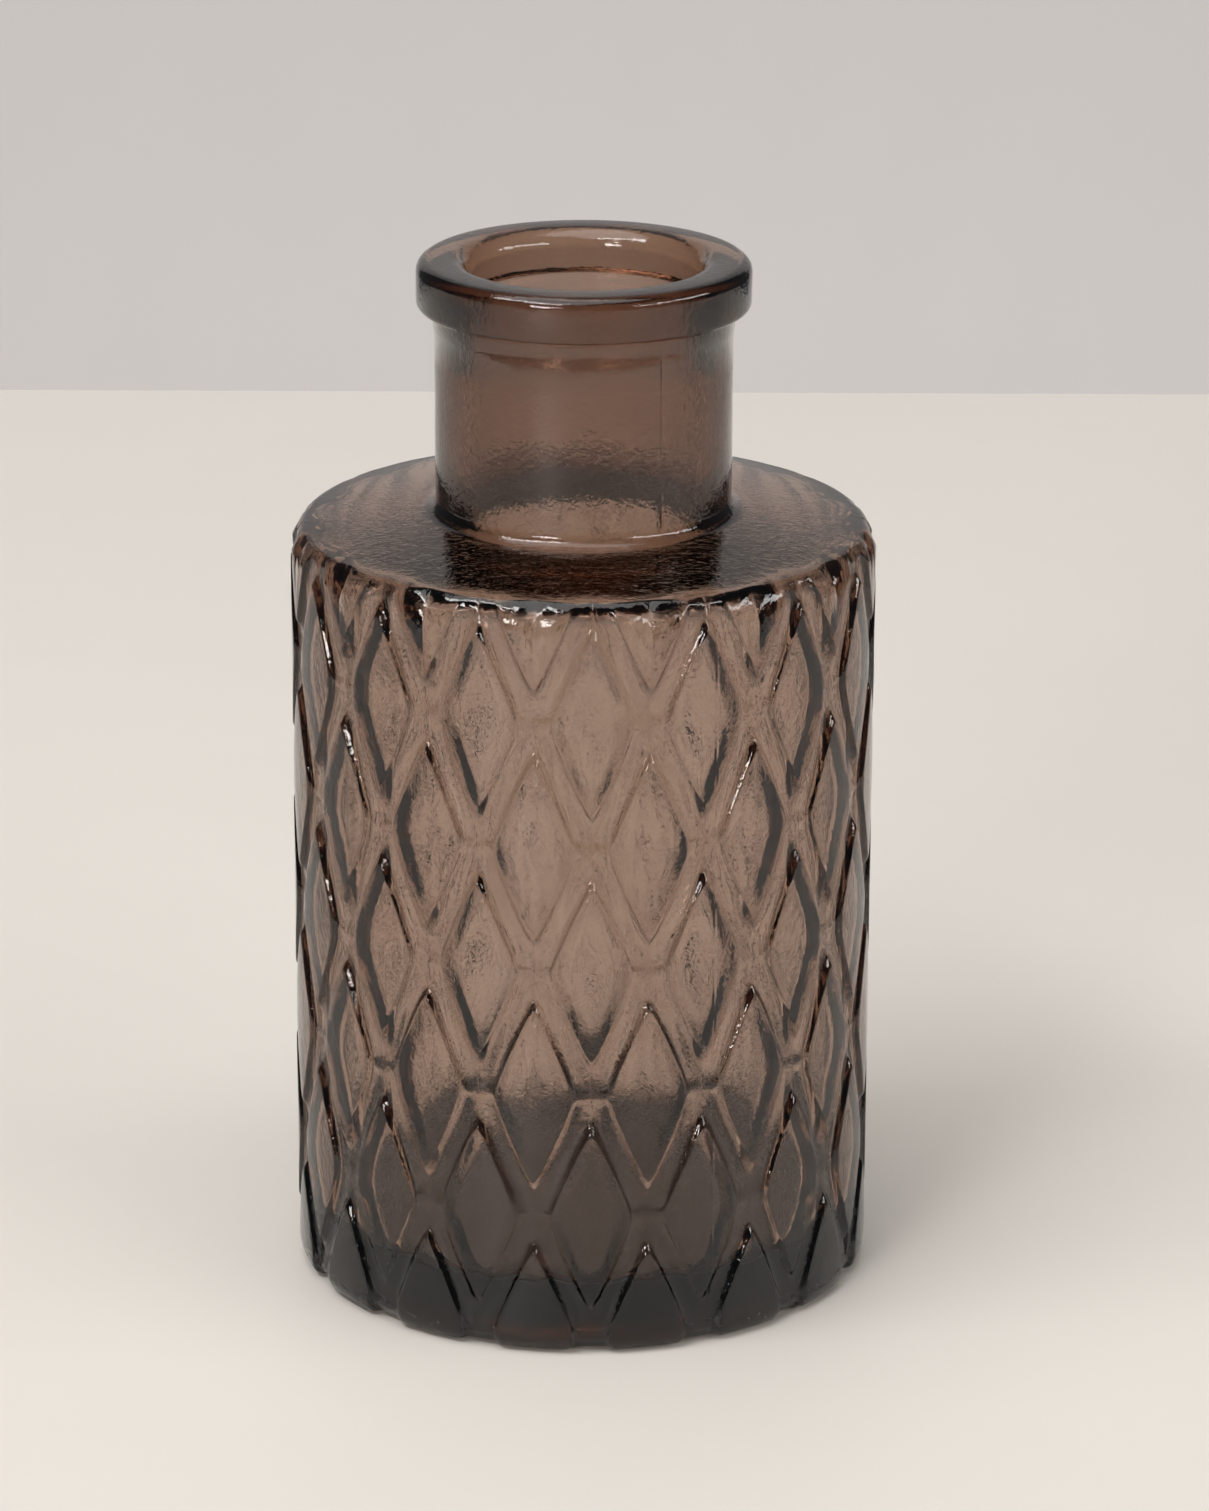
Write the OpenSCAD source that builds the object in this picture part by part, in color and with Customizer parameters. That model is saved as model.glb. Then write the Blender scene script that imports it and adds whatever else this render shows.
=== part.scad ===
// Bud vase in the shape of a small apothecary bottle: one moulding in smoky brown glass, with a
// cylindrical body, a near-flat shoulder, a straight neck and a thick rolled lip. Staggered rows of
// raised lozenges with bevelled edges cover the body, and shallow channels run between them.
//
// The moulding is drawn in the sections that its mould gives it, which meet face to face.
// Frame: +Z up along the axis, origin at the centre of the base, front towards -Y.

/* [Body] */
// Diameter of the wall at the floor of the channels
wall_d = 58.6; // [58:0.1:60]
// Height of the shoulder's outer corner
corner_h = 80; // [79:0.5:82]
// Diameter of the cavity inside the body
cavity_d = 54.4; // [54:0.2:55]
// Thickness of the glass floor
floor_t = 6.4; // [5:0.1:7]
// Radius inside, where the wall meets the floor
floor_fillet = 3; // [2:0.5:4]
// Radius of the heel, outside at the foot of the wall
heel_radius = 2.2; // [1.5:0.1:2.8]
// Height of the push-up under the base
push_up = 1; // [0.5:0.1:2]
// Inner diameter of the bearing ring that the vase stands on
bearing_d = 46; // [42:1:46]

/* [Shoulder] */
// Radius of the shoulder's outer corner
corner_radius = 1; // [0.6:0.1:1.4]
// Rise of the shoulder from its corner to the root of the neck
shoulder_rise = 1.4; // [0.5:0.1:3]
// Thickness of the shoulder's glass at its outer corner
shoulder_t = 1.8; // [1.2:0.1:3]
// Radius inside, where the wall meets the shoulder
shoulder_fillet = 1.2; // [1:0.1:4]

/* [Neck and lip] */
// Outer diameter of the neck
neck_d = 30.3; // [29:0.1:32]
// Diameter of the straight bore through the neck
bore_d = 23.2; // [21:0.1:24]
// Radius outside, where the neck meets the shoulder
neck_fillet = 1.5; // [1:0.1:2]
// Radius inside, where the bore opens into the cavity
bore_bell = 2; // [1:0.5:2.5]
// Overall height
vase_h = 107.5; // [105:0.5:112]
// Diameter of the lip
lip_d = 34; // [33:0.5:36]
// Height of the lip
lip_h = 5; // [4:0.5:6]
// Radius of the lip's lower edge
lip_under_radius = 0.8; // [0.5:0.1:1]
// Radius of the lip's upper outer edge
lip_top_radius = 1.2; // [0.8:0.1:1.5]
// Radius of the mouth's edge
mouth_radius = 2; // [1:0.1:2]
// Height of the thickened ring left by the mould parting under the lip
parting_h = 2.1; // [1.5:0.1:3]
// How far that ring stands out from the neck
parting_step = 0.15; // [0.1:0.05:0.3]

/* [Lozenges] */
// Lozenges around the body in each row
columns = 16; // [14:1:18]
// Height of a lozenge above the floor of the channels
relief = 0.7; // [0.3:0.1:0.8]
// Width of a lozenge at its foot
lozenge_w = 8.7; // [7:0.1:8.8]
// Height of a lozenge at its foot
lozenge_h = 19.4; // [17:0.1:19.6]
// Width of the bevel around a lozenge
bevel = 0.6; // [0.3:0.1:1]
// Height of the middle of the lowest row
first_row_h = 1.9; // [1:0.1:3]
// Distance from one row to the next
row_pitch = 13.1; // [12.8:0.1:13.4]
// Angle from the front to a lozenge of the lowest row
first_row_angle = -9.2; // [-22.5:0.1:22.5]

/* [Mould seams] */
// Angle from the front to the seam on the body
body_seam_angle = 26.5; // [-90:0.5:90]
// Angle from the front to the seam on the neck
neck_seam_angle = 31; // [-90:0.5:90]
// Width of a seam
seam_w = 0.5; // [0.3:0.1:0.8]
// Height of a seam above the glass beside it
seam_relief = 0.1; // [0.05:0.05:0.2]

/* [Hidden] */
rows = 7;

$fn = 128;
arc_steps = 8;
glass_colour = [0.42, 0.32, 0.28];
relief_colour = [0.50, 0.40, 0.35];
seam_colour = [0.30, 0.22, 0.19];

wall_r = wall_d / 2;
cavity_r = cavity_d / 2;
neck_r = neck_d / 2;
bore_r = bore_d / 2;
lip_r = lip_d / 2;
bearing_r = bearing_d / 2;
floor_r = cavity_r - floor_fillet;

// Heights where one section ends and the next begins
wall_low = floor_t + floor_fillet;
ceiling = corner_h - shoulder_t;
wall_high = ceiling - shoulder_fillet;
corner_low = corner_h - corner_radius;
lip_low = vase_h - lip_h;
parting_low = lip_low - parting_h;

// The shoulder climbs in a straight line from its corner to the fillet at the neck
slope_in_r = neck_r + neck_fillet;
slope_out_r = wall_r - corner_radius;
corner_r = cavity_r - shoulder_fillet;
neck_low = shoulder_top(slope_in_r) + neck_fillet;

function shoulder_top(r) =
    corner_h + shoulder_rise * (slope_out_r - r) / (slope_out_r - slope_in_r);

// Points along an arc, from one angle to another
function arc(centre, radius, from, to) = [
    for (i = [0:arc_steps])
        let (angle = from + (to - from) * i / arc_steps)
        centre + radius * [cos(angle), sin(angle)]
];

// A solid of revolution about the vase's axis, from an outline of [radius, height] points
module turned(outline) {
    rotate_extrude() polygon(outline);
}

// A tube about the vase's axis
module tube(outer_r, inner_r, low, high) {
    difference() {
        translate([0, 0, low]) cylinder(r = outer_r, h = high - low);
        translate([0, 0, low - 1]) cylinder(r = inner_r, h = high - low + 2);
    }
}

// Turns something drawn along +X to an angle from the front, counted towards +X
module on_side(angle) {
    rotate([0, 0, angle - 90]) children();
}

// ---- Base and wall ----

// Thick glass floor, with a push-up under it
module base_plate() {
    color(glass_colour)
        turned([
            [0, push_up],
            [bearing_r - 2 * push_up, push_up],
            [bearing_r, 0],
            [floor_r, 0],
            [floor_r, floor_t],
            [0, floor_t]
        ]);
}

// Foot of the wall: the bearing ring that touches the table, the rounded heel outside, and the
// fillet inside, up from the floor
module heel_ring() {
    color(glass_colour)
        turned(concat(
            [[floor_r, 0]],
            arc([wall_r - heel_radius, heel_radius], heel_radius, -90, 0),
            [[wall_r, wall_low]],
            arc([floor_r, wall_low], floor_fillet, 0, -90)
        ));
}

// Cylindrical wall, whose outside is the floor of the channels
module body_wall() {
    color(glass_colour) tube(wall_r, cavity_r, wall_low, wall_high);
}

// ---- Lozenges ----

// A long bar with sloping flanks, leaning so that it runs along two sides of a lozenge
module bevelled_bar(lean) {
    half_w = lozenge_w / 2;
    half_h = lozenge_h / 2;
    foot = half_w * half_h / norm([half_w, half_h]);
    depth = 2 * relief;
    spread = bevel * depth / relief;
    rotate([lean, 0, 0])
        linear_extrude(height = 2 * lozenge_h, center = true)
            polygon([
                [wall_r - depth, -foot - spread],
                [wall_r + depth, -foot + spread],
                [wall_r + depth, foot - spread],
                [wall_r - depth, foot + spread]
            ]);
}

// The bevelled outline of one lozenge: what two crossed bars have in common
module lozenge() {
    lean = atan(lozenge_w / lozenge_h);
    intersection() {
        bevelled_bar(lean);
        bevelled_bar(-lean);
    }
}

// The lozenges of one row, in their places. The rows are staggered by half a column.
module placed_lozenges(row) {
    step = 360 / columns;
    first = first_row_angle + (row - 1) % 2 * step / 2;
    height = first_row_h + (row - 1) * row_pitch;
    for (column = [0:columns - 1])
        on_side(first + column * step) translate([0, 0, height]) lozenge();
}

// A row as it stands on the wall. The heel cuts off the lowest row, and the shoulder's corner cuts
// off the highest.
module lozenge_row(row) {
    color(relief_colour)
        intersection() {
            tube(wall_r + relief, wall_r, heel_radius, corner_low);
            union() placed_lozenges(row);
        }
}

// ---- Shoulder ----

// Outer corner of the shoulder, rounded outside, with the cavity's fillet inside
module shoulder_corner() {
    color(glass_colour)
        turned(concat(
            [[cavity_r, wall_high], [wall_r, wall_high]],
            arc([slope_out_r, corner_low], corner_radius, 0, 90),
            [[corner_r, shoulder_top(corner_r)]],
            arc([corner_r, wall_high], shoulder_fillet, 90, 0)
        ));
}

// The ring between the corner and the root of the neck, gently sloped on top and level underneath
module shoulder() {
    color(glass_colour)
        turned([
            [slope_in_r, ceiling],
            [corner_r, ceiling],
            [corner_r, shoulder_top(corner_r)],
            [slope_in_r, shoulder_top(slope_in_r)]
        ]);
}

// ---- Neck and lip ----

// Root of the neck: a fillet outside, and the bell where the bore opens into the cavity
module neck_root() {
    bell_r = bore_r + bore_bell;
    bell_h = ceiling + bore_bell;
    color(glass_colour)
        turned(concat(
            arc([bell_r, bell_h], bore_bell, 180, 270),
            [[slope_in_r, ceiling]],
            arc([slope_in_r, neck_low], neck_fillet, 270, 180),
            [[bore_r, neck_low]]
        ));
}

module neck() {
    color(glass_colour) tube(neck_r, bore_r, neck_low, lip_low);
}

// Fine step just under the lip, where the mould's neck ring parts from its body
module parting_ring() {
    color(seam_colour) tube(neck_r + parting_step, neck_r, parting_low, lip_low);
}

// Thick rolled lip, rounded into the mouth
module lip() {
    mouth_r = bore_r + mouth_radius;
    color(glass_colour)
        turned(concat(
            [[bore_r, lip_low]],
            arc([lip_r - lip_under_radius, lip_low + lip_under_radius], lip_under_radius, -90, 0),
            arc([lip_r - lip_top_radius, vase_h - lip_top_radius], lip_top_radius, 0, 90),
            arc([mouth_r, vase_h - mouth_radius], mouth_radius, 90, 180)
        ));
}

// ---- Mould seams ----

// A fine line up each side of a cylinder, where the two halves of the mould met
module seam_pair(angle, radius, low, high) {
    for (side = [0, 180])
        on_side(angle + side)
            translate([radius, -seam_w / 2, low]) cube([seam_relief, seam_w, high - low]);
}

// On the body the seams show in the channels, between the lozenges that they meet
module body_seams() {
    color(seam_colour)
        difference() {
            seam_pair(body_seam_angle, wall_r, heel_radius, corner_low);
            for (row = [1:rows]) placed_lozenges(row);
        }
}

module neck_seams() {
    color(seam_colour) seam_pair(neck_seam_angle, neck_r, neck_low, parting_low);
}

base_plate();
heel_ring();
body_wall();
for (row = [1:rows])
    lozenge_row(row);
shoulder_corner();
shoulder();
neck_root();
neck();
parting_ring();
lip();
body_seams();
neck_seams();
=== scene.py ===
"""Smoky glass bud vase with a relief of raised lozenges, standing on a pale table.

The vase is one closed glass mesh, because light has to pass through a single skin outside and a
single skin inside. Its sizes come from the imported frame, whose nodes it replaces.
"""

import math

import bmesh
import bpy
from mathutils import Matrix, Vector, noise


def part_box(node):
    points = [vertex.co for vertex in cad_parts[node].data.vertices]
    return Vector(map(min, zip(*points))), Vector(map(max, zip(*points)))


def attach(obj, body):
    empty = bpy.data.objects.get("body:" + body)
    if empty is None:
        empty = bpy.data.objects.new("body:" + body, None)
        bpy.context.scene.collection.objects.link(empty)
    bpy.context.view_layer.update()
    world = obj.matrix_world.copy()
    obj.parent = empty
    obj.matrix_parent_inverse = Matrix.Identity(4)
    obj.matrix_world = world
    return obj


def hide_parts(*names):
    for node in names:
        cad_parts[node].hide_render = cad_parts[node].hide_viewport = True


MM = 0.001

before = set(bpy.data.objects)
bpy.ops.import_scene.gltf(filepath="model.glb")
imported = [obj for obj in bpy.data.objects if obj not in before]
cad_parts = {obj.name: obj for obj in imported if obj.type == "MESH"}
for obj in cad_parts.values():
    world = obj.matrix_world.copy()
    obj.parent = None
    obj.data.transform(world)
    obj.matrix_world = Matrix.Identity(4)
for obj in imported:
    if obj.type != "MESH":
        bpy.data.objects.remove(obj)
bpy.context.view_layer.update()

# ---- Sizes ----

ROWS = 7
COLUMNS = 16
lip_low, lip_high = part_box("lip")
neck_low, neck_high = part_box("neck")
parting_low, parting_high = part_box("parting_ring")
whole_rows = [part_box(f"lozenge_row_{row}") for row in range(2, ROWS)]
row_middles = [(low.z + high.z) / 2 for low, high in whole_rows]

WALL_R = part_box("body_wall")[1].x
LOZENGE_R = whole_rows[0][1].x
NECK_R = neck_high.x
PARTING_R = parting_high.x
LIP_R = lip_high.x

FLOOR_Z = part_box("base_plate")[1].z
WALL_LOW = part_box("heel_ring")[1].z
WALL_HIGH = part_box("shoulder_corner")[0].z
NECK_LOW = neck_low.z
PARTING_Z = parting_low.z
LIP_LOW = lip_low.z
TOP_Z = lip_high.z

# These sizes can't be read from the boxes, so they repeat the part's own
BORE_R = 11.6 * MM
CAVITY_R = 27.2 * MM
BEARING_R = 23 * MM
CORNER_Z = 80 * MM
HEEL_RADIUS = 2.2 * MM
CORNER_RADIUS = 1 * MM
FLOOR_FILLET = WALL_LOW - FLOOR_Z
SHOULDER_FILLET = 1.2 * MM
NECK_FILLET = 1.5 * MM
BORE_BELL = 2 * MM
LIP_UNDER = 0.8 * MM
LIP_TOP = 1.2 * MM
MOUTH_RADIUS = 2 * MM
PUSH_UP = 1 * MM
ROW_1_ANGLE = -9.2
BODY_SEAM_ANGLE = 26.5
NECK_SEAM_ANGLE = 31
SEAM_HALF_WIDTH = 0.25 * MM
SEAM_HEIGHT = 0.1 * MM

RELIEF = LOZENGE_R - WALL_R
ROW_PITCH = row_middles[3] - row_middles[2]
ROW_1_Z = row_middles[0] - ROW_PITCH
TOP_ROW_Z = ROW_1_Z + (ROWS - 1) * ROW_PITCH
HALF_STEP = 180 / COLUMNS

# Unevenness of the glass: the size of its waves, and their height
BODY_WAVE = (5 * MM, 0.03 * MM)
NECK_WAVE = (5 * MM, 0.06 * MM)
INNER_WAVES = ((6 * MM, 0.12 * MM), (2.2 * MM, 0.04 * MM))
# Heights in the skin's bump, as shares of a mould seam's height
RIPPLE = 0.4
BODY_SEAM = 0.5

# A lozenge is flat inside the first share of its cell, and its bevel ends at the second
LOZENGE_TOP = 0.69
LOZENGE_FOOT = 0.77
BEVEL_ROUNDING = 0.12
ROUNDING_X = 0.07
ROUNDING_Z = 0.11
# The low ridge across each junction of the channels: its height as a share of the relief, where it
# starts and stops fading towards its ends, and how thick it is, in half cells
CREASE = 0.35
CREASE_FADE = (0.22, 0.45)
CREASE_WIDTH = 0.035
# The inside of the wall follows the lozenges with softer dimples, as blown glass does
DIMPLE = 1.05 * MM
DIMPLE_TOP = 0.44
DIMPLE_FOOT = 0.91
# Share of a dimple's depth that goes into the wall. The rest stands into the cavity, round it.
DIMPLE_OUT = 0.7

# Where the shoulder's corner begins and ends along the body's outline. Up the wall, a distance along
# the outline is the same as a height.
CORNER_START = CORNER_Z - CORNER_RADIUS
CORNER_END = CORNER_START + CORNER_RADIUS * math.pi / 2

# Rings of a cell, from its centre to its edge, with most of them on the bevel
LEVELS = [0, 0.3, 0.58, 0.67, 0.695, 0.72, 0.745, 0.77, 0.8, 0.9, 1]
SIDE_STEPS = 12
SIDE_CROWDING = 0.6


def smooth(low, high, x):
    """0 below low, 1 above high, and a smooth step between."""
    t = min(1, max(0, (x - low) / (high - low)))
    return t * t * (3 - 2 * t)


def on_axis(angle, radius, z):
    """A point at an angle in degrees from the front, counted towards +X."""
    a = math.radians(angle)
    return Vector((radius * math.sin(a), -radius * math.cos(a), z))


# ---- Outside of the body ----


def cell_place(angle, w, shift):
    """How far a point lies across and up from the nearest lozenge's centre, or with a shift of 1
    from the nearest junction of the channels, in half cells."""
    across = (angle - ROW_1_ANGLE) / HALF_STEP - shift
    up = (w - ROW_1_Z) / ROW_PITCH
    best = None
    for row in (math.floor(up), math.floor(up) + 1):
        column = 2 * round((across - row) / 2) + row
        dx, dz = across - column, up - row
        if best is None or abs(dx) + abs(dz) < abs(best[0]) + abs(best[1]):
            best = (dx, dz)
    return best


def bevelled(low, high, x):
    """1 below low, 0 above high, and a straight slope between, with its ends rounded."""
    t = (x - low) / (high - low)
    e = BEVEL_ROUNDING
    return 0.5 + (math.hypot(t - 1, e) - math.hypot(t, e)) / 2


def cell_share(angle, w):
    """0 at a lozenge's centre and 1 at the edge of its cell, with the corners rounded."""
    dx, dz = cell_place(angle, w, 0)
    return math.hypot(dx, ROUNDING_X) + math.hypot(dz, ROUNDING_Z) - (ROUNDING_X + ROUNDING_Z) / 2


def relief(angle, w):
    """Height of the lozenge relief over the floor of the channels."""
    lozenge = bevelled(LOZENGE_TOP, LOZENGE_FOOT, cell_share(angle, w))
    # A low ridge crosses each junction of the channels, from one lozenge's side to the next one's
    jx, jz = cell_place(angle, w, 1)
    crease = CREASE * (1 - smooth(*CREASE_FADE, abs(jx))) * math.exp(-((jz / CREASE_WIDTH) ** 2))
    fade = 1 - smooth(CORNER_START - 1.2 * MM, CORNER_START + 0.4 * MM, w)
    heel = smooth(-HEEL_RADIUS * 0.3, HEEL_RADIUS * 0.5, w)
    return RELIEF * max(lozenge, crease) * fade * heel


def body_profile(w):
    """Radius, height and outward normal of the plain body, at a distance w along its outline."""
    if w < HEEL_RADIUS:
        a = (HEEL_RADIUS - w) / HEEL_RADIUS
        r = WALL_R - HEEL_RADIUS + HEEL_RADIUS * math.cos(a)
        return r, HEEL_RADIUS - HEEL_RADIUS * math.sin(a), math.cos(a), -math.sin(a)
    if w < CORNER_START:
        return WALL_R, w, 1, 0
    a = (w - CORNER_START) / CORNER_RADIUS
    r = WALL_R - CORNER_RADIUS + CORNER_RADIUS * math.cos(a)
    return r, CORNER_START + CORNER_RADIUS * math.sin(a), math.cos(a), math.sin(a)


def waviness(point, size, height):
    """Smooth unevenness of glass: at most about the given height, over the given size."""
    return height * noise.noise(point / size)


def body_point(angle, w):
    """A point on the outside of the body, at an angle and a distance w along its outline."""
    r, z, nr, nz = body_profile(w)
    # The waves only lower the surface, so that it stays inside the part's own outline
    sunk = waviness(on_axis(angle, r, z), *BODY_WAVE) - BODY_WAVE[1]
    lift = relief(angle, w) + sunk
    return on_axis(angle, r + nr * lift, z + nz * lift)


def side_share(j):
    """Share of the way along a cell's side, with the steps crowded towards its corners."""
    v = j / SIDE_STEPS
    return v * (1 - SIDE_CROWDING) + SIDE_CROWDING * (1 - math.cos(math.pi * v)) / 2


def add_face(bm, corners, flip=False):
    """A face of its own new vertices. Vertices in one place are merged at the end."""
    verts = [bm.verts.new(c) for c in (reversed(corners) if flip else corners)]
    bm.faces.new(verts)


def cell_quarter(bm, angle, w, right, up):
    """One quarter of a cell, from its centre out to one side, as rings of quads."""
    grid = []
    for level in LEVELS:
        row = []
        for j in range(SIDE_STEPS + 1):
            u = side_share(j)
            across = right * level * (1 - u) * HALF_STEP
            along = up * level * u * ROW_PITCH
            row.append(body_point(angle + across, w + along))
        grid.append(row)
    for inner, outer in zip(grid, grid[1:]):
        for j in range(SIDE_STEPS):
            corners = [inner[j], outer[j], outer[j + 1], inner[j + 1]]
            # All of the first ring is one point, at the cell's centre
            if inner is grid[0]:
                corners = corners[:3]
            add_face(bm, corners, right * up < 0)


def body_cells(bm):
    """Every cell of the relief. The lowest and the highest row have only their inner halves."""
    for row in range(ROWS):
        w = ROW_1_Z + row * ROW_PITCH
        ups = [1] if row == 0 else [-1] if row == ROWS - 1 else [-1, 1]
        for column in range(COLUMNS):
            angle = ROW_1_ANGLE + (2 * column + row % 2) * HALF_STEP
            for up in ups:
                for right in (-1, 1):
                    cell_quarter(bm, angle, w, right, up)


# ---- Turned surfaces ----

# Angles of the vertices along the top and bottom edges of the relief, which every ring keeps
EDGE_ANGLES = sorted(
    ROW_1_ANGLE + 2 * column * HALF_STEP + sign * level * HALF_STEP
    for column in range(COLUMNS)
    for sign, levels in ((1, LEVELS[:-1]), (-1, LEVELS[1:]))
    for level in levels
)


def arc(centre_r, centre_z, radius, start, end, steps):
    """Outline points along an arc, in degrees."""
    points = []
    for i in range(steps + 1):
        a = math.radians(start + (end - start) * i / steps)
        points.append((centre_r + radius * math.cos(a), centre_z + radius * math.sin(a)))
    return points


def line(start, end, steps):
    """Outline points along a straight line, without its first point."""
    return [
        tuple(a + (b - a) * i / steps for a, b in zip(start, end))
        for i in range(1, steps + 1)
    ]


def turned(bm, rings):
    """Faces between rings of points. A ring of one point closes the surface."""
    count = len(EDGE_ANGLES)
    for lower, upper in zip(rings, rings[1:]):
        for i in range(count):
            k = (i + 1) % count
            if len(lower) == 1:
                add_face(bm, [lower[0], upper[k], upper[i]])
            elif len(upper) == 1:
                add_face(bm, [lower[i], lower[k], upper[0]])
            else:
                add_face(bm, [lower[i], lower[k], upper[k], upper[i]])


def ring(r, z):
    """An even ring about the axis. A ring of no radius is one point."""
    if r == 0:
        return [Vector((0, 0, z))]
    return [on_axis(angle, r, z) for angle in EDGE_ANGLES]


def neck_turn(r, z):
    """How far the rings turn, which puts a crowded bunch of their angles on each of the neck's mould
    seams. The turn starts on the shoulder and ends inside the mouth."""
    crowded = ROW_1_ANGLE + (4 - (LOZENGE_TOP + LOZENGE_FOOT) / 2) * HALF_STEP
    start = WALL_R - CORNER_RADIUS if z < LIP_LOW else BORE_R
    end = NECK_R + NECK_FILLET if z < LIP_LOW else LIP_R - LIP_TOP
    return (NECK_SEAM_ANGLE - crowded) * smooth(start, end, r)


def neck_ring(r, z):
    """A ring of the shoulder, neck or lip. On the neck it rises over the mould seams."""
    points = []
    for edge_angle in EDGE_ANGLES:
        angle = edge_angle + neck_turn(r, z)
        lift = waviness(on_axis(angle, r, z), *NECK_WAVE)
        if NECK_LOW <= z <= PARTING_Z:
            away = abs((angle - NECK_SEAM_ANGLE + 90) % 180 - 90)
            lift += SEAM_HEIGHT * max(0, 1 - math.radians(away) * r / SEAM_HALF_WIDTH)
        points.append(on_axis(angle, r + lift, z))
    return points


def heel_and_base(bm):
    """From the middle of the base, out over the bearing ring, and up the heel to the first cells."""
    outline = [(0, PUSH_UP), *line((0, PUSH_UP), (BEARING_R - 2 * PUSH_UP, PUSH_UP), 5)]
    outline.append((BEARING_R - 1.2 * PUSH_UP, 0.75 * PUSH_UP))
    outline.append((BEARING_R - 0.6 * PUSH_UP, 0.25 * PUSH_UP))
    outline += [(BEARING_R, 0), (WALL_R - HEEL_RADIUS - 1.5 * MM, 0)]
    rings = [ring(r, z) for r, z in outline]
    start = HEEL_RADIUS * (1 - math.pi / 2)
    steps = 8
    for i in range(steps + 1):
        w = start + (ROW_1_Z - start) * i / steps
        rings.append([body_point(angle, w) for angle in EDGE_ANGLES])
    turned(bm, rings)


def shoulder_neck_and_lip(bm):
    """From the highest cells, over the corner, up the neck and over the lip, down into the bore."""
    rings = [[body_point(angle, w) for angle in EDGE_ANGLES] for w in (TOP_ROW_Z, CORNER_END)]
    top_in = (NECK_R + NECK_FILLET, NECK_LOW - NECK_FILLET)
    outline = line((WALL_R - CORNER_RADIUS, CORNER_Z), top_in, 7)[:-1]
    outline += arc(top_in[0], NECK_LOW, NECK_FILLET, 270, 180, 6)
    outline += line((NECK_R, NECK_LOW), (NECK_R, PARTING_Z), 5)
    outline += [(PARTING_R, PARTING_Z + 0.12 * MM), (PARTING_R, LIP_LOW - 0.35 * MM)]
    outline += [(PARTING_R + 0.1 * MM, LIP_LOW - 0.1 * MM), (PARTING_R + 0.35 * MM, LIP_LOW)]
    outline += arc(LIP_R - LIP_UNDER, LIP_LOW + LIP_UNDER, LIP_UNDER, -90, 0, 4)
    outline += arc(LIP_R - LIP_TOP, TOP_Z - LIP_TOP, LIP_TOP, 0, 90, 6)
    outline += arc(BORE_R + MOUTH_RADIUS, TOP_Z - MOUTH_RADIUS, MOUTH_RADIUS, 90, 180, 8)
    rings += [neck_ring(r, z) for r, z in outline]
    turned(bm, rings)


def cavity_ring(r, z):
    """A ring inside the vase, dimpled where it lies against the wall behind the lozenges."""
    points = []
    depth = DIMPLE * smooth(CAVITY_R - 2.5 * MM, CAVITY_R, r)
    for angle in EDGE_ANGLES:
        lift = sum(waviness(on_axis(angle, r, z), *wave) for wave in INNER_WAVES)
        lift += depth * (DIMPLE_OUT - smooth(DIMPLE_TOP, DIMPLE_FOOT, cell_share(angle, z)))
        points.append(on_axis(angle, r + lift, z))
    return points


def cavity(bm):
    """Down the bore, out under the shoulder, down the wall and in to the middle of the floor."""
    ceiling = WALL_HIGH + SHOULDER_FILLET
    bell_r = BORE_R + BORE_BELL
    corner_r = CAVITY_R - SHOULDER_FILLET
    mouth_z = TOP_Z - MOUTH_RADIUS
    outline = [(BORE_R, mouth_z), *line((BORE_R, mouth_z), (BORE_R, ceiling + BORE_BELL), 8)]
    outline += arc(bell_r, ceiling + BORE_BELL, BORE_BELL, 180, 270, 5)[1:]
    outline += line((bell_r, ceiling), (corner_r, ceiling), 6)
    outline += arc(corner_r, WALL_HIGH, SHOULDER_FILLET, 90, 0, 6)[1:]
    outline += line((CAVITY_R, WALL_HIGH), (CAVITY_R, WALL_LOW), 64)
    outline += arc(CAVITY_R - FLOOR_FILLET, WALL_LOW, FLOOR_FILLET, 0, -90, 5)[1:]
    outline += line((CAVITY_R - FLOOR_FILLET, FLOOR_Z), (0, FLOOR_Z), 6)
    rings = [neck_ring(BORE_R, mouth_z)]
    rings += [cavity_ring(r, z) for r, z in outline[1:-1]]
    rings.append(ring(0, FLOOR_Z))
    turned(bm, rings)


def vase_mesh():
    """The whole vase as one closed mesh. Its size and any open edges are printed."""
    bm = bmesh.new()
    heel_and_base(bm)
    body_cells(bm)
    shoulder_neck_and_lip(bm)
    cavity(bm)
    bmesh.ops.remove_doubles(bm, verts=bm.verts, dist=0.002 * MM)
    for face in bm.faces:
        face.smooth = True
    mesh = bpy.data.meshes.new("vase_glass")
    bm.to_mesh(mesh)
    triangles = sum(len(face.verts) - 2 for face in bm.faces)
    open_edges = sum(1 for edge in bm.edges if len(edge.link_faces) != 2)
    volume = round(bm.calc_volume() * 1e6, 2)
    print(f"vase: {triangles} triangles, {open_edges} open edges, {volume} cm3")
    bm.free()
    return mesh


# ---- Materials ----


def new_material(name):
    """A material, its nodes and links, and its shader and output nodes."""
    material = bpy.data.materials.new(name)
    material.use_nodes = True
    nodes, links = material.node_tree.nodes, material.node_tree.links
    return material, nodes, links, nodes["Principled BSDF"], nodes["Material Output"]


def math_node(nodes, links, operation, first, second=0):
    """Output of a sum or comparison of an output and another output or a number."""
    node = nodes.new("ShaderNodeMath")
    node.operation = operation
    links.new(first, node.inputs[0])
    if isinstance(second, (int, float)):
        node.inputs[1].default_value = second
    else:
        links.new(second, node.inputs[1])
    return node.outputs[0]


def distance_along(nodes, links, place, direction):
    """How far a place is from the axis, counted along a level direction."""
    dot = nodes.new("ShaderNodeVectorMath")
    dot.operation = "DOT_PRODUCT"
    dot.inputs[1].default_value = (*direction, 0)
    links.new(place, dot.inputs[0])
    return math_node(nodes, links, "ABSOLUTE", dot.outputs["Value"])


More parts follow.
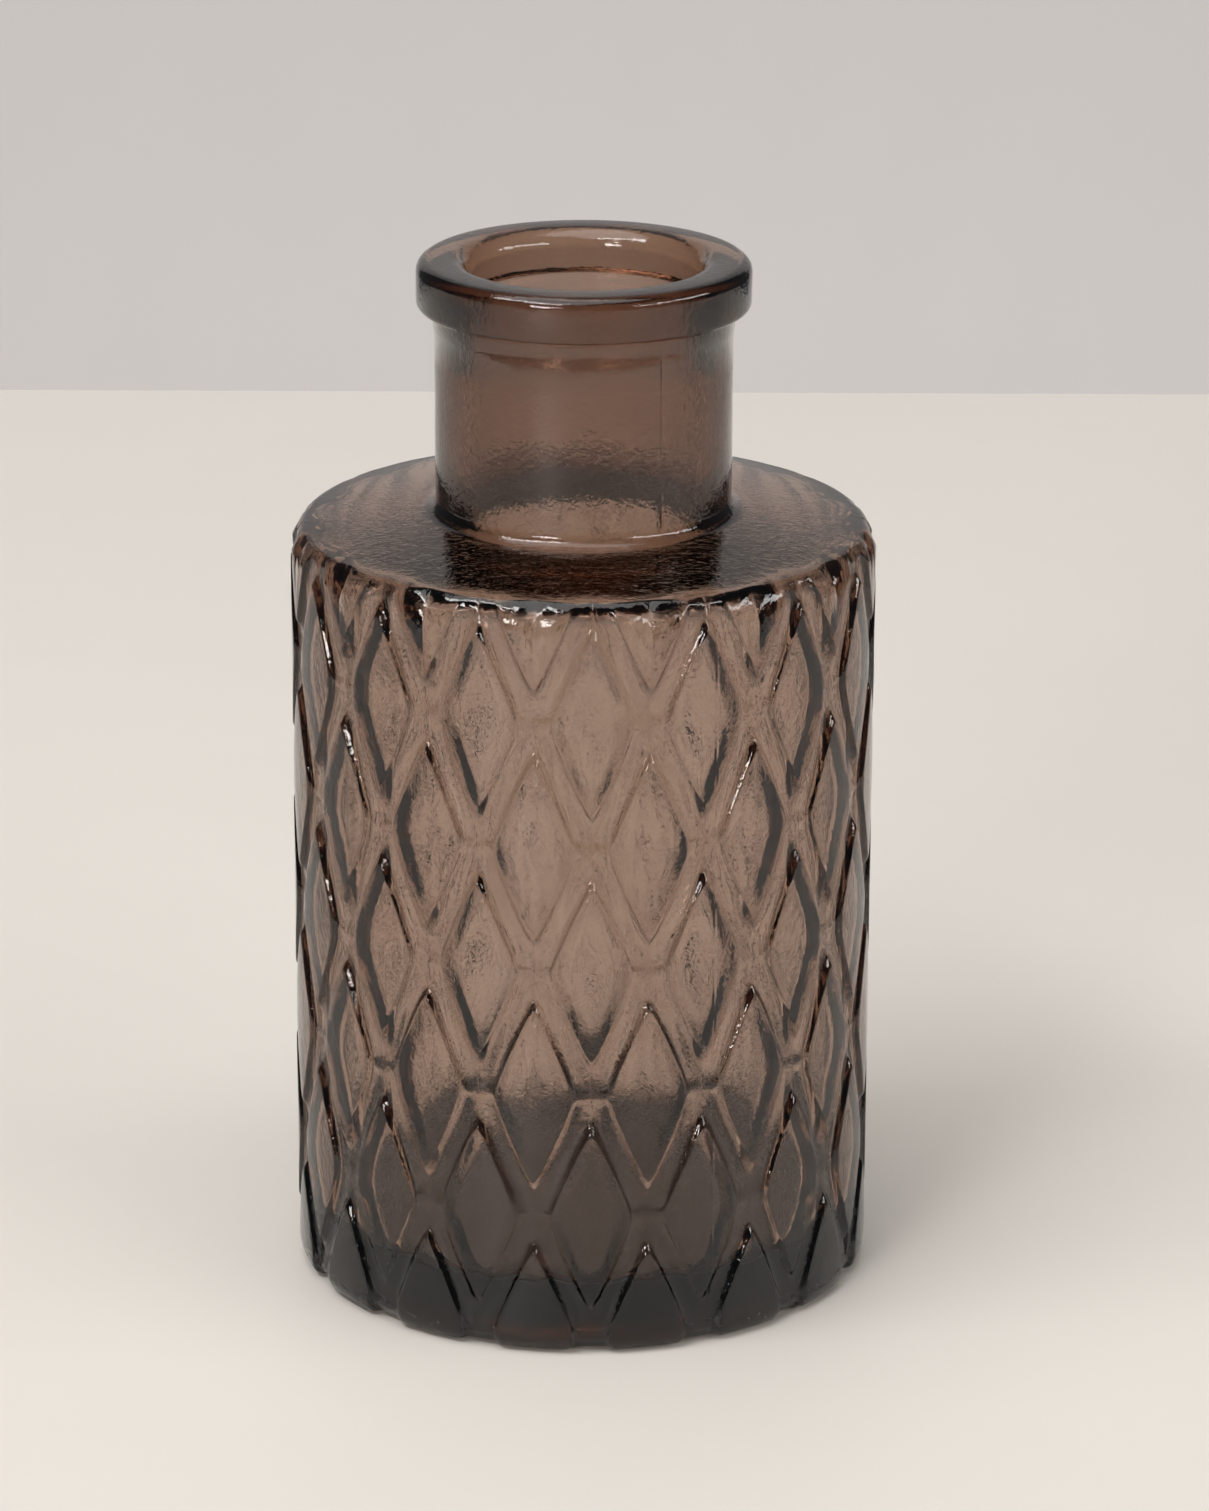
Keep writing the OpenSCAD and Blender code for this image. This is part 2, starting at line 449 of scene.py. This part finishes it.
def body_seams(nodes, links, place):
    """Height in the bump of the body's two mould seams, which face each other across it."""
    a = math.radians(BODY_SEAM_ANGLE)
    across = distance_along(nodes, links, place, (math.cos(a), math.sin(a)))
    outwards = distance_along(nodes, links, place, (math.sin(a), -math.cos(a)))
    split = nodes.new("ShaderNodeSeparateXYZ")
    links.new(place, split.inputs["Vector"])
    ridge = math_node(nodes, links, "MULTIPLY", across, -1 / SEAM_HALF_WIDTH)
    ridge = math_node(nodes, links, "ADD", ridge, 1)
    ridge = math_node(nodes, links, "MAXIMUM", ridge, 0)
    # Only outside the wall, and below the shoulder
    outside = math_node(nodes, links, "GREATER_THAN", outwards, WALL_R - 0.5 * MM)
    below = math_node(nodes, links, "LESS_THAN", split.outputs["Z"], CORNER_START)
    for share in (outside, below):
        ridge = math_node(nodes, links, "MULTIPLY", ridge, share)
    return math_node(nodes, links, "MULTIPLY", ridge, BODY_SEAM)


def smoke_glass():
    """Clear soda-lime glass with smoky brown absorption inside it, and a faint ripple on its skin."""
    material, nodes, links, shader, output = new_material("smoke_glass")
    shader.inputs["Base Color"].default_value = (1, 1, 1, 1)
    shader.inputs["Transmission Weight"].default_value = 1
    shader.inputs["IOR"].default_value = 1.52
    place = nodes.new("ShaderNodeTexCoord").outputs["Object"]
    ripple = nodes.new("ShaderNodeTexNoise")
    ripple.inputs["Scale"].default_value = 1000
    ripple.inputs["Detail"].default_value = 2
    ripple.inputs["Distortion"].default_value = 1.5
    links.new(place, ripple.inputs["Vector"])
    bump = nodes.new("ShaderNodeBump")
    bump.inputs["Strength"].default_value = 1
    bump.inputs["Distance"].default_value = SEAM_HEIGHT
    height = math_node(nodes, links, "MULTIPLY", ripple.outputs["Fac"], RIPPLE)
    height = math_node(nodes, links, "ADD", height, body_seams(nodes, links, place))
    links.new(height, bump.inputs["Height"])
    links.new(bump.outputs["Normal"], shader.inputs["Normal"])
    haze = nodes.new("ShaderNodeMapRange")
    haze.inputs["To Min"].default_value = 0
    haze.inputs["To Max"].default_value = 0.03
    links.new(ripple.outputs["Fac"], haze.inputs["Value"])
    links.new(haze.outputs["Result"], shader.inputs["Roughness"])
    smoke = nodes.new("ShaderNodeVolumeAbsorption")
    smoke.inputs["Color"].default_value = (0.427, 0.189, 0.022, 1)
    smoke.inputs["Density"].default_value = 370
    links.new(smoke.outputs["Volume"], output.inputs["Volume"])
    return material


def paint(name, colour, roughness):
    """Matt paint with a faint grain."""
    material, nodes, links, shader, _ = new_material(name)
    grain = nodes.new("ShaderNodeTexNoise")
    grain.inputs["Scale"].default_value = 60
    grain.inputs["Detail"].default_value = 4
    ramp = nodes.new("ShaderNodeValToRGB")
    dark = [c * 0.97 for c in colour]
    ramp.color_ramp.elements[0].color = (*dark, 1)
    ramp.color_ramp.elements[1].color = (*colour, 1)
    links.new(grain.outputs["Fac"], ramp.inputs["Fac"])
    links.new(ramp.outputs["Color"], shader.inputs["Base Color"])
    shader.inputs["Roughness"].default_value = roughness
    return material


# ---- Stage ----


def box_mesh(name, low, high):
    """A box between two opposite corners."""
    bm = bmesh.new()
    bmesh.ops.create_cube(bm, size=1)
    size = [b - a for a, b in zip(low, high)]
    middle = [(a + b) / 2 for a, b in zip(low, high)]
    matrix = Matrix.Translation(middle) @ Matrix.Diagonal((*size, 1))
    bmesh.ops.transform(bm, matrix=matrix, verts=bm.verts)
    mesh = bpy.data.meshes.new(name)
    bm.to_mesh(mesh)
    bm.free()
    return mesh


def add_object(name, mesh, material):
    """An object in the scene, with one material."""
    piece = bpy.data.objects.new(name, mesh)
    bpy.context.scene.collection.objects.link(piece)
    mesh.materials.append(material)
    return piece


def stage():
    """The table, and a wall well behind it."""
    table = add_object("table", box_mesh("table", (-1.2, -1.2, -0.03), (1.2, 0.34, 0)),
                       paint("table_paint", (0.80, 0.76, 0.70), 0.5))
    wall = add_object("wall", box_mesh("wall", (-0.9, 1.6, -2.5), (0.9, 1.65, 3)),
                      paint("wall_paint", (0.70, 0.66, 0.64), 0.8))


def area_light(name, power, size, place, target, colour):
    """A rectangular light of the given size, aimed at a target."""
    light = bpy.data.lights.new(name, "AREA")
    light.shape = "RECTANGLE"
    light.size, light.size_y = size
    light.energy = power
    light.color = colour
    lamp = bpy.data.objects.new(name, light)
    lamp.location = place
    lamp.rotation_euler = (Vector(target) - Vector(place)).to_track_quat("-Z", "Y").to_euler()
    bpy.context.scene.collection.objects.link(lamp)


def lights():
    """Soft light from all round. The backdrop's light stands below the table, out of sight of it."""
    world = bpy.data.worlds.new("studio")
    bpy.context.scene.world = world
    world.use_nodes = True
    nodes, links = world.node_tree.nodes, world.node_tree.links
    nodes["Background"].inputs["Color"].default_value = (0.9, 0.93, 1.0, 1)
    nodes["Background"].inputs["Strength"].default_value = 0.08
    middle = (0, 0, 0.05)
    area_light("window", 14, (0.6, 0.4), (-1.0, -1.9, 0.75), middle, (1, 0.98, 0.96))
    area_light("skylight", 14, (1.4, 0.22), (-0.87, -0.8, 1.55), middle, (1, 0.99, 0.99))
    area_light("side_window", 12, (1.8, 0.25), (1.48, -0.69, 0.81), middle, (1, 0.99, 0.98))
    area_light("overhead", 14, (1.4, 1.4), (-0.2, -0.2, 1.5), middle, (1, 0.98, 0.96))
    area_light("backdrop", 9, (2.0, 0.5), (0, 0.7, -0.9), (0, 1.6, -0.1), (1, 0.98, 0.97))


def camera():
    """A long lens that looks down on the vase from the front, a little to the right of its axis."""
    pitch = math.radians(18.73)
    roll = 0.0038
    aim_z, distance, to_right = 54.48 * MM, 641.2 * MM, 2.25 * MM
    forward = Vector((0, math.cos(pitch), -math.sin(pitch)))
    up = Vector((0, math.sin(pitch), math.cos(pitch)))
    right = Vector((1, 0, 0))
    place = Vector((0, 0, aim_z)) - distance * forward + to_right * right
    right, up = (
        math.cos(roll) * right + math.sin(roll) * up,
        math.cos(roll) * up - math.sin(roll) * right,
    )
    data = bpy.data.cameras.new("camera")
    data.lens = 147.45
    data.sensor_width = 36
    data.clip_start, data.clip_end = 0.01, 20
    eye = bpy.data.objects.new("camera", data)
    turn = Matrix((right, up, -forward)).transposed().to_4x4()
    eye.matrix_world = Matrix.Translation(place) @ turn
    bpy.context.scene.collection.objects.link(eye)
    bpy.context.scene.camera = eye


camera()
vase = add_object("vase_glass", vase_mesh(), smoke_glass())
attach(vase, "root")
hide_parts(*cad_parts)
stage()
lights()
bpy.context.scene.view_settings.view_transform = "Standard"
bpy.context.scene.cycles.max_bounces = 24
bpy.context.scene.cycles.transmission_bounces = 24
